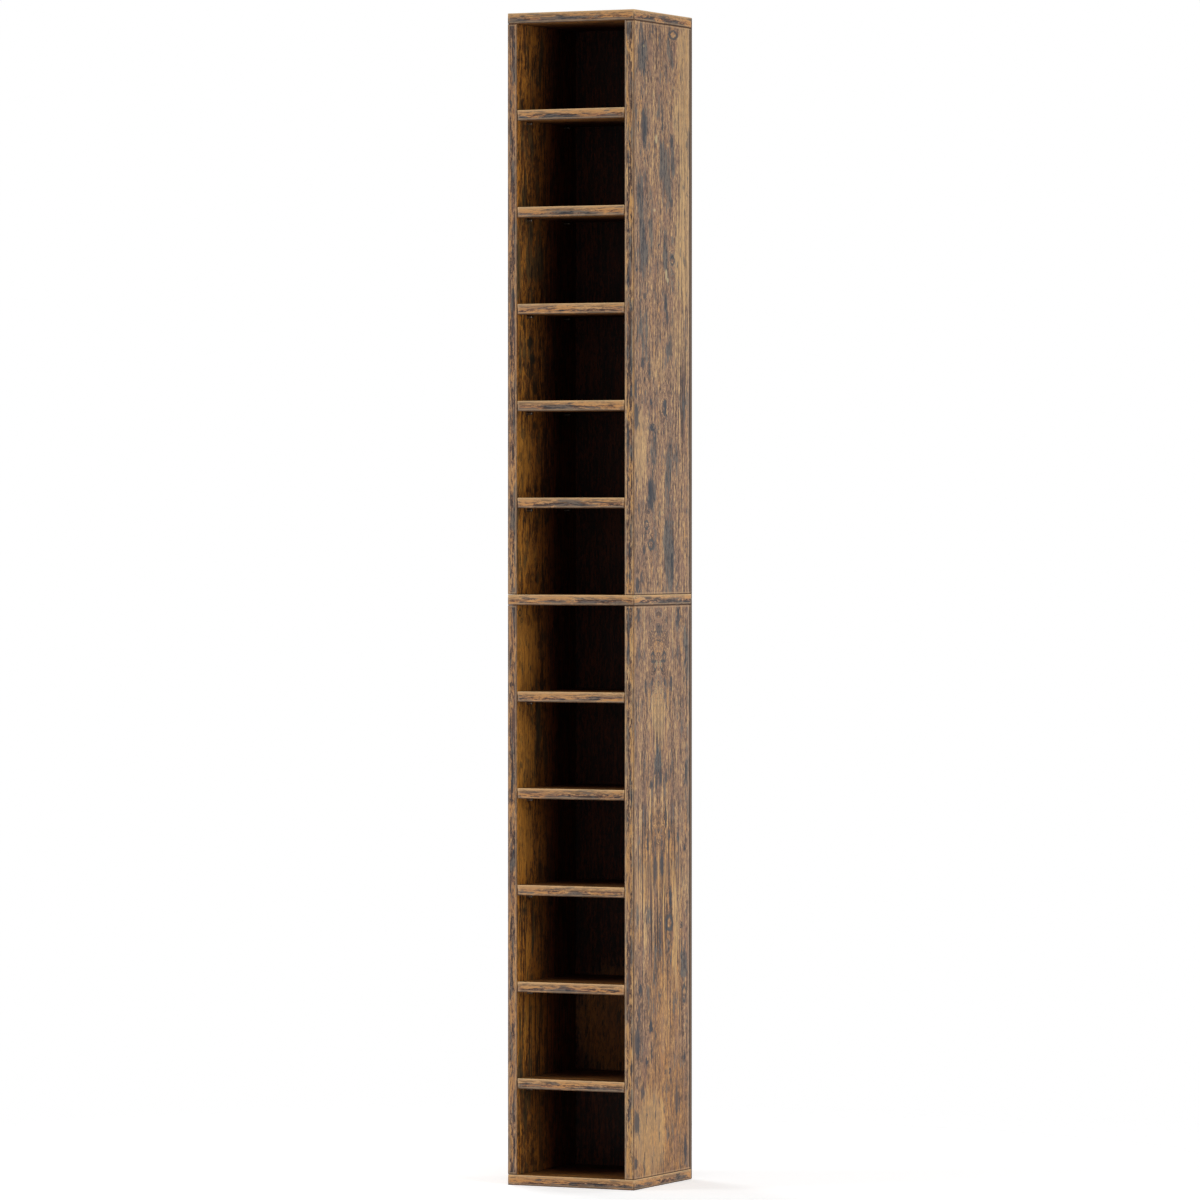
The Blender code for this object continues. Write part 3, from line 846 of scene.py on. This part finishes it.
def level_board(name, seed, open_above=True, open_below=True, weathered=0.0):
    """Decor for a board that lies level, with painted shade where it faces a bay, and its front and
    ends painted lighter at the top and darker at the bottom.
    """
    low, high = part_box(name)
    material, tree, shader = new_material(f"{name}_decor")
    place = own_place(tree)
    sheet, strip, at_end = level_place(tree, place, seed)
    z = parts(tree, place)["Z"]
    edge = maths(tree, "MAXIMUM", strip, at_end)
    up = times_plus(tree, z, 1 / BOARD, -(low.z + high.z) / 2 / BOARD)
    # Painted light on the front and the ends: paler towards the top, darker and with more slate
    # towards the bottom
    painted_top_light = times(tree, up, edge)
    oak = use(tree, aged_oak, {
        "Place": sheet, "Bold": times_plus(tree, edge, 0.80, 0.20),
        "Pale": times_plus(tree, painted_top_light, 2.6, times(tree, edge, 0.40)),
        "Slate": times_plus(tree, painted_top_light, -0.7, times(tree, edge, weathered)),
    })
    inside = maths(tree, "SUBTRACT", 1.0, edge)
    if not open_above:
        inside = times(tree, inside, maths(tree, "LESS_THAN", z, high.z - ON_FACE))
    if not open_below:
        inside = times(tree, inside, maths(tree, "GREATER_THAN", z, low.z + ON_FACE))
    # Painted shade on the faces towards the bays, darker towards their rear
    colour = paint_bay_shade(tree, oak["Color"], place, inside)
    colour = mix(tree, edge, colour, EDGE_WASH, "MULTIPLY")
    # Painted highlight on the upper arrises, painted shade on the lower ones
    rim = mix(tree, rise(tree, up, 0.0, 0.4), LOWER_RIM_SHADE, UPPER_RIM_HIGHLIGHT)
    decor_finish(tree, shader, colour, oak["Relief"], oak["Slate"], place, low, high, rim, inside)
    dress(name, material)


level_board("top_board", seed=14.2, open_above=False, weathered=0.25)
level_board("middle_board", seed=16.9)
level_board("bottom_board", seed=19.3, open_below=False)


# Shelves. Ten loose boards of the same decor, five to a half, with a strip on the front edge.
# Each lies on four steel pins and slides in from the front until it meets the back panel.

SHELVES = range(1, 11)
SHELF_SEED = 21.7  # where in the decor the shelves are cut
NEXT_SHELF = 1.93  # and how far on each next one

for number in SHELVES:
    level_board(f"shelf_{number:02d}", seed=SHELF_SEED + NEXT_SHELF * number)


# Back panels. Two sheets of 3 mm hardboard laid on the rear edges and nailed. The side towards the
# bays is printed with the decor, upright grain, and the rear is left as it comes from the press.

HARDBOARD_TONES = (
    (0.30, paint(122, 88, 58)), (0.52, paint(150, 112, 76)), (0.72, paint(172, 134, 94)),
)
FIBRE_FLECK = paint(84, 58, 40)
CUT_EDGE = paint(58, 40, 28)
LIGHTER_WASH = paint(255, 214, 150)


def back_panel(name, seed, lighter=()):
    """Decor on the front of a back panel with the painted shade of the rear of the bays, halved in
    some lighter patches, and bare fibres behind.
    """
    low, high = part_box(name)
    material, tree, shader = new_material(f"{name}_faces")
    place = own_place(tree)
    x, y, z = parts(tree, place)
    sheet = point(tree, x, z)
    lighter = patches(tree, sheet, lighter)
    oak = use(tree, aged_oak, {
        "Place": from_seed(tree, sheet, seed), "Pale": lighter, "Bold": 0.5,
    })
    # Painted shade of the rear of the bays, half as strong in the lighter patches
    bay_shade_share = times_plus(tree, lighter, -0.5, 1.0)
    printed = paint_bay_shade(tree, oak["Color"], place, bay_shade_share)
    printed = mix(tree, lighter, printed, LIGHTER_WASH, "MULTIPLY")
    # Pressed fibres: a fine mottle with darker flecks
    mottle = flat_noise(tree, sheet, 0.0016, 0.0016, detail=4, roughness=0.7)
    clouds = flat_noise(tree, sheet, 0.06, 0.06, detail=3)
    clouds = times_plus(tree, clouds, 0.4, times(tree, mottle, 0.6))
    flecks = rise(tree, flat_noise(tree, sheet, 0.0009, 0.0022, detail=1), 0.66, 0.74)
    bare = mix(tree, times(tree, flecks, 0.5), ramp(tree, clouds, HARDBOARD_TONES), FIBRE_FLECK)
    rear = rise(tree, y, low.y + ON_FACE, low.y + 2 * ON_FACE)
    colour = mix(tree, rear, printed, bare)
    cut = maths(tree, "GREATER_THAN", maths(tree, "ABSOLUTE", x), high.x - ON_FACE)
    colour = mix(tree, times(tree, cut, 0.75), colour, CUT_EDGE)
    roughness = times_plus(tree, rear, 0.2, 0.55)
    coat(tree, shader, colour, roughness, mottle, strength=0.3, depth=0.0002)
    dress(name, material)


back_panel("upper_back_panel", seed=44.6)
back_panel("lower_back_panel", seed=47.2, lighter=[(-20, 240, 90, 110, 1.0)])


# Nails. Thirty-two nails with flat heads hold the back panels, down both sides and across the
# boards. Each is pressed from bright wire: a head, a thin shank and a point.

NAIL_HEAD = 0.005  # across
HEAD_THICKNESS = 0.0006
HEAD_ROUNDING = 0.0003
SHANK = 0.0016  # across
NAIL_LENGTH = 0.020
POINT = 0.12  # width of the point, as a share of the shank
NAIL_PROUD = 0.00005
SIDE_NAILS = (0.008, 0.170, 0.330, 0.490, 0.650, 0.892)  # up a panel, from its end of the tower
BOARD_NAILS = (-0.048, 0.048)
JOINT_NAIL = 0.004  # from the joint of the two panels
REAR_Y = cad_high.y + NAIL_PROUD - HEAD_THICKNESS / 2
MIDDLE_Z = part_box("upper_back_panel")[0].z


def solid_noise(tree, place, scale, detail):
    """Noise all through a piece, with the number of its blotches to a metre."""
    inputs = {"Vector": place, "Scale": scale, "Detail": detail}
    return add(tree, "TexNoise", inputs).outputs["Fac"]


def bright_steel():
    """Plated steel with a faint brushed grain."""
    material, tree, shader = new_material("bright_steel_wire", metallic=1.0)
    place = own_place(tree)
    grain = solid_noise(tree, place, 900.0, 3.0)
    steel = mix(tree, rise(tree, grain, 0.35, 0.7), paint(120, 112, 104), paint(158, 148, 138))
    roughness = times_plus(tree, grain, 0.2, 0.22)
    coat(tree, shader, steel, roughness, grain, strength=0.2, depth=0.00005)
    return material


def start_cylinder(name, radius, thickness, turn, sides=24):
    """A flat cylinder at the origin, turned to its axis, its place in its mesh, in Edit Mode."""
    bpy.ops.object.select_all(action="DESELECT")
    bpy.ops.mesh.primitive_cylinder_add(
        vertices=sides, radius=radius, depth=thickness, rotation=turn
    )
    piece = bpy.context.active_object
    piece.name = name
    bpy.ops.object.transform_apply(location=True, rotation=True, scale=True)
    bpy.context.tool_settings.mesh_select_mode = (False, False, True)
    bpy.ops.object.mode_set(mode="EDIT")
    return piece


def pick_end(piece, direction):
    """Select the end face that lies farthest in a direction."""
    bpy.ops.mesh.select_all(action="DESELECT")
    bpy.ops.object.mode_set(mode="OBJECT")
    way = Vector(direction)
    end = max(piece.data.polygons, key=lambda face: face.center.dot(way) + face.normal.dot(way))
    end.select = True
    bpy.ops.object.mode_set(mode="EDIT")


def pull(offset):
    """Extrude the selected face by an offset."""
    bpy.ops.mesh.extrude_region_move(TRANSFORM_OT_translate={"value": offset})


def round_rim(rounding, segments):
    """Bevel the rim of the selected face."""
    bpy.ops.mesh.bevel(offset=rounding, segments=segments, affect="EDGES")


def finish_piece(piece, material):
    """Leave Edit Mode with smooth sides and sharp rims, and give the piece its finish."""
    bpy.ops.mesh.select_all(action="DESELECT")
    bpy.ops.object.mode_set(mode="OBJECT")
    bpy.ops.object.shade_smooth_by_angle(angle=math.radians(35))
    piece.data.materials.append(material)


def copy_to(piece, name, place, turn=0.0):
    """A copy with its own mesh, turned about the upright axis and then set in place."""
    twin = piece.copy()
    twin.data = piece.data.copy()
    twin.name = name
    twin.data.transform(Matrix.Translation(place) @ Matrix.Rotation(turn, 4, "Z"))
    bpy.context.scene.collection.objects.link(twin)
    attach(twin, "root")


wire = bright_steel()
nail = start_cylinder("nail", NAIL_HEAD / 2, HEAD_THICKNESS, (math.radians(90), 0, 0), sides=20)
pick_end(nail, (0, -1, 0))
bpy.ops.mesh.inset(thickness=(NAIL_HEAD - SHANK) / 2)
pull((0, -(NAIL_LENGTH - HEAD_THICKNESS - 2 * SHANK), 0))
pull((0, -2 * SHANK, 0))
bpy.ops.transform.resize(value=(POINT, 1, POINT))
pick_end(nail, (0, 1, 0))
round_rim(HEAD_ROUNDING, segments=2)
finish_piece(nail, wire)

spots = [
    (side * (INNER_X + OUTER_X) / 2, height) for side in (-1, 1) for height in SIDE_NAILS
] + [
    (across, height) for across in BOARD_NAILS for height in (SIDE_NAILS[0], MIDDLE_Z - JOINT_NAIL)
]
spots += [(across, cad_high.z - height) for across, height in spots]
for number, (across, height) in enumerate(sorted(spots, key=lambda spot: (spot[1], spot[0])), 1):
    copy_to(nail, f"nail_{number:02d}", (across, REAR_Y, height))
bpy.data.objects.remove(nail)


# Shelf pins. Four bright steel pins carry each shelf. A pin is turned from rod with a thin collar
# that stops at the wall, and its free end is rounded. Each fits over the peg in the side panel.

PIN_RADIUS = 0.0026
COLLAR_RADIUS = 0.0036
COLLAR = 0.0004
PIN_REACH = 0.0081  # out of the wall
PIN_ROUNDING = 0.0009
PIN_BELOW = 0.0028  # from the underside of a shelf to the axis of its pins
PIN_ROWS = {"front": -0.068, "rear": 0.0647}

pin = start_cylinder("shelf_pin", COLLAR_RADIUS, COLLAR, (0, math.radians(90), 0))
pick_end(pin, (1, 0, 0))
bpy.ops.mesh.inset(thickness=COLLAR_RADIUS - PIN_RADIUS)
pull((PIN_REACH - COLLAR, 0, 0))
round_rim(PIN_ROUNDING, segments=3)
finish_piece(pin, wire)
for number in SHELVES:
    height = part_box(f"shelf_{number:02d}")[0].z - PIN_BELOW
    for row, depth in PIN_ROWS.items():
        at_left = (-INNER_X + COLLAR / 2, depth, height)
        at_right = (INNER_X - COLLAR / 2, depth, height)
        copy_to(pin, f"shelf_{number:02d}_left_{row}_pin", at_left)
        copy_to(pin, f"shelf_{number:02d}_right_{row}_pin", at_right, math.pi)
bpy.data.objects.remove(pin)


# Cam locks. Sixteen drums cast in zinc draw the boards onto the side panels, and a thin cap in the
# colour of the decor is stuck over each of them.

CAP_RADIUS = 0.009
CAP = 0.0004
CAP_ROUNDING = 0.0002
CAP_SHEET = (61.3, 4.7, 0)  # where in the decor the caps are cut


def cast_zinc():
    """Grey zinc with the grain of its mould."""
    material, tree, shader = new_material("cast_zinc", metallic=1.0)
    place = own_place(tree)
    sand = solid_noise(tree, place, 2600.0, 2.0)
    tint = solid_noise(tree, place, 140.0, 3.0)
    zinc = mix(tree, tint, paint(128, 130, 134), paint(168, 168, 168))
    roughness = times_plus(tree, sand, 0.25, 0.35)
    coat(tree, shader, zinc, roughness, sand, strength=0.5, depth=0.0001)
    return material


def printed_cap():
    """Foil with a faint print of the decor, with the painted shade of the inside of the bays."""
    material, tree, shader = new_material("printed_cap")
    place = own_place(tree)
    x, y, z = parts(tree, place)
    sheet = vector(tree, "ADD", point(tree, total(tree, x, y), z), CAP_SHEET)
    oak = use(tree, aged_oak, {"Place": sheet, "Knots": 0.0})
    printed = mix(tree, 0.5, oak["Color"], paint(136, 104, 74))
    # Painted shade, as on the inside of the bays
    printed = paint_bay_shade(tree, printed, place, 1.0)
    coat(tree, shader, printed, 0.5, oak["Relief"], strength=0.2, depth=0.0001)
    return material


zinc = cast_zinc()
cap = start_cylinder("cap", CAP_RADIUS, CAP, (0, math.radians(90), 0), sides=32)
pick_end(cap, (1, 0, 0))
round_rim(CAP_ROUNDING, segments=2)
finish_piece(cap, printed_cap())
for level in ("top", "upper_middle", "lower_middle", "bottom"):
    for side, sign in (("left", -1), ("right", 1)):
        for row in ("front", "rear"):
            name = f"{level}_{side}_{row}_cam"
            dress(name, zinc)
            low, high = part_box(name)
            middle = (low + high) / 2
            middle.x = sign * (INNER_X - CAP / 2)
            copy_to(cap, f"{name}_cap", middle, 0.0 if sign < 0 else math.pi)
bpy.data.objects.remove(cap)


# Connecting bolts. Twelve bolts of bright steel stand in the boards, and a cam grips the ball at
# the end of each. Those of the middle board have a ball at both ends, the others a rolled thread.

THREAD_PITCH = 0.0010


def rolled_steel():
    """Bright drawn steel, with a thread where a bolt stands in the top or the bottom board."""
    material, tree, shader = new_material("rolled_steel", metallic=1.0)
    place = own_place(tree)
    z = parts(tree, place)["Z"]
    ridge = maths(tree, "PINGPONG", z, THREAD_PITCH / 2)
    ridge = maths(tree, "DIVIDE", ridge, THREAD_PITCH / 2)
    in_board = most(tree, [
        maths(tree, "COMPARE", z, (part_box(board)[0].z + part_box(board)[1].z) / 2, BOARD / 2)
        for board in ("bottom_board", "top_board")
    ])
    thread = times(tree, ridge, in_board)
    steel = mix(tree, thread, paint(196, 196, 194), paint(128, 128, 130))
    roughness = times_plus(tree, solid_noise(tree, place, 700.0, 2.0), 0.2, 0.2)
    coat(tree, shader, steel, roughness, thread, strength=0.6, depth=0.0003)
    return material


steel = rolled_steel()
for side in ("left", "right"):
    for row in ("front", "rear"):
        dress(f"top_{side}_{row}_bolt", steel)
        dress(f"bottom_{side}_{row}_bolt", steel)
        dress(f"middle_{side}_{row}_double_bolt", steel)


# Dowels. Six beech dowels keep the boards and the side panels in line. They are turned along the
# grain, and the beech shows its short dark flecks.

DOWEL_GRAIN = (1.0, 1.0, 0.16)  # draws a figure out along the upright grain


def turned_beech():
    """Pale beech with short dark flecks along its upright grain."""
    material, tree, shader = new_material("turned_beech")
    long = vector(tree, "MULTIPLY", own_place(tree), DOWEL_GRAIN)
    fleck = solid_noise(tree, long, 2200.0, 1.0)
    ring = solid_noise(tree, long, 420.0, 3.0)
    wood = mix(tree, ring, paint(196, 158, 116), paint(222, 188, 146))
    flecked = times(tree, rise(tree, fleck, 0.62, 0.70), 0.6)
    wood = mix(tree, flecked, wood, paint(140, 98, 64))
    roughness = times_plus(tree, ring, 0.2, 0.5)
    coat(tree, shader, wood, roughness, fleck, strength=0.3, depth=0.0001)
    return material


beech = turned_beech()
for level in ("top", "middle", "bottom"):
    for side in ("left", "right"):
        dress(f"{level}_{side}_dowel", beech)
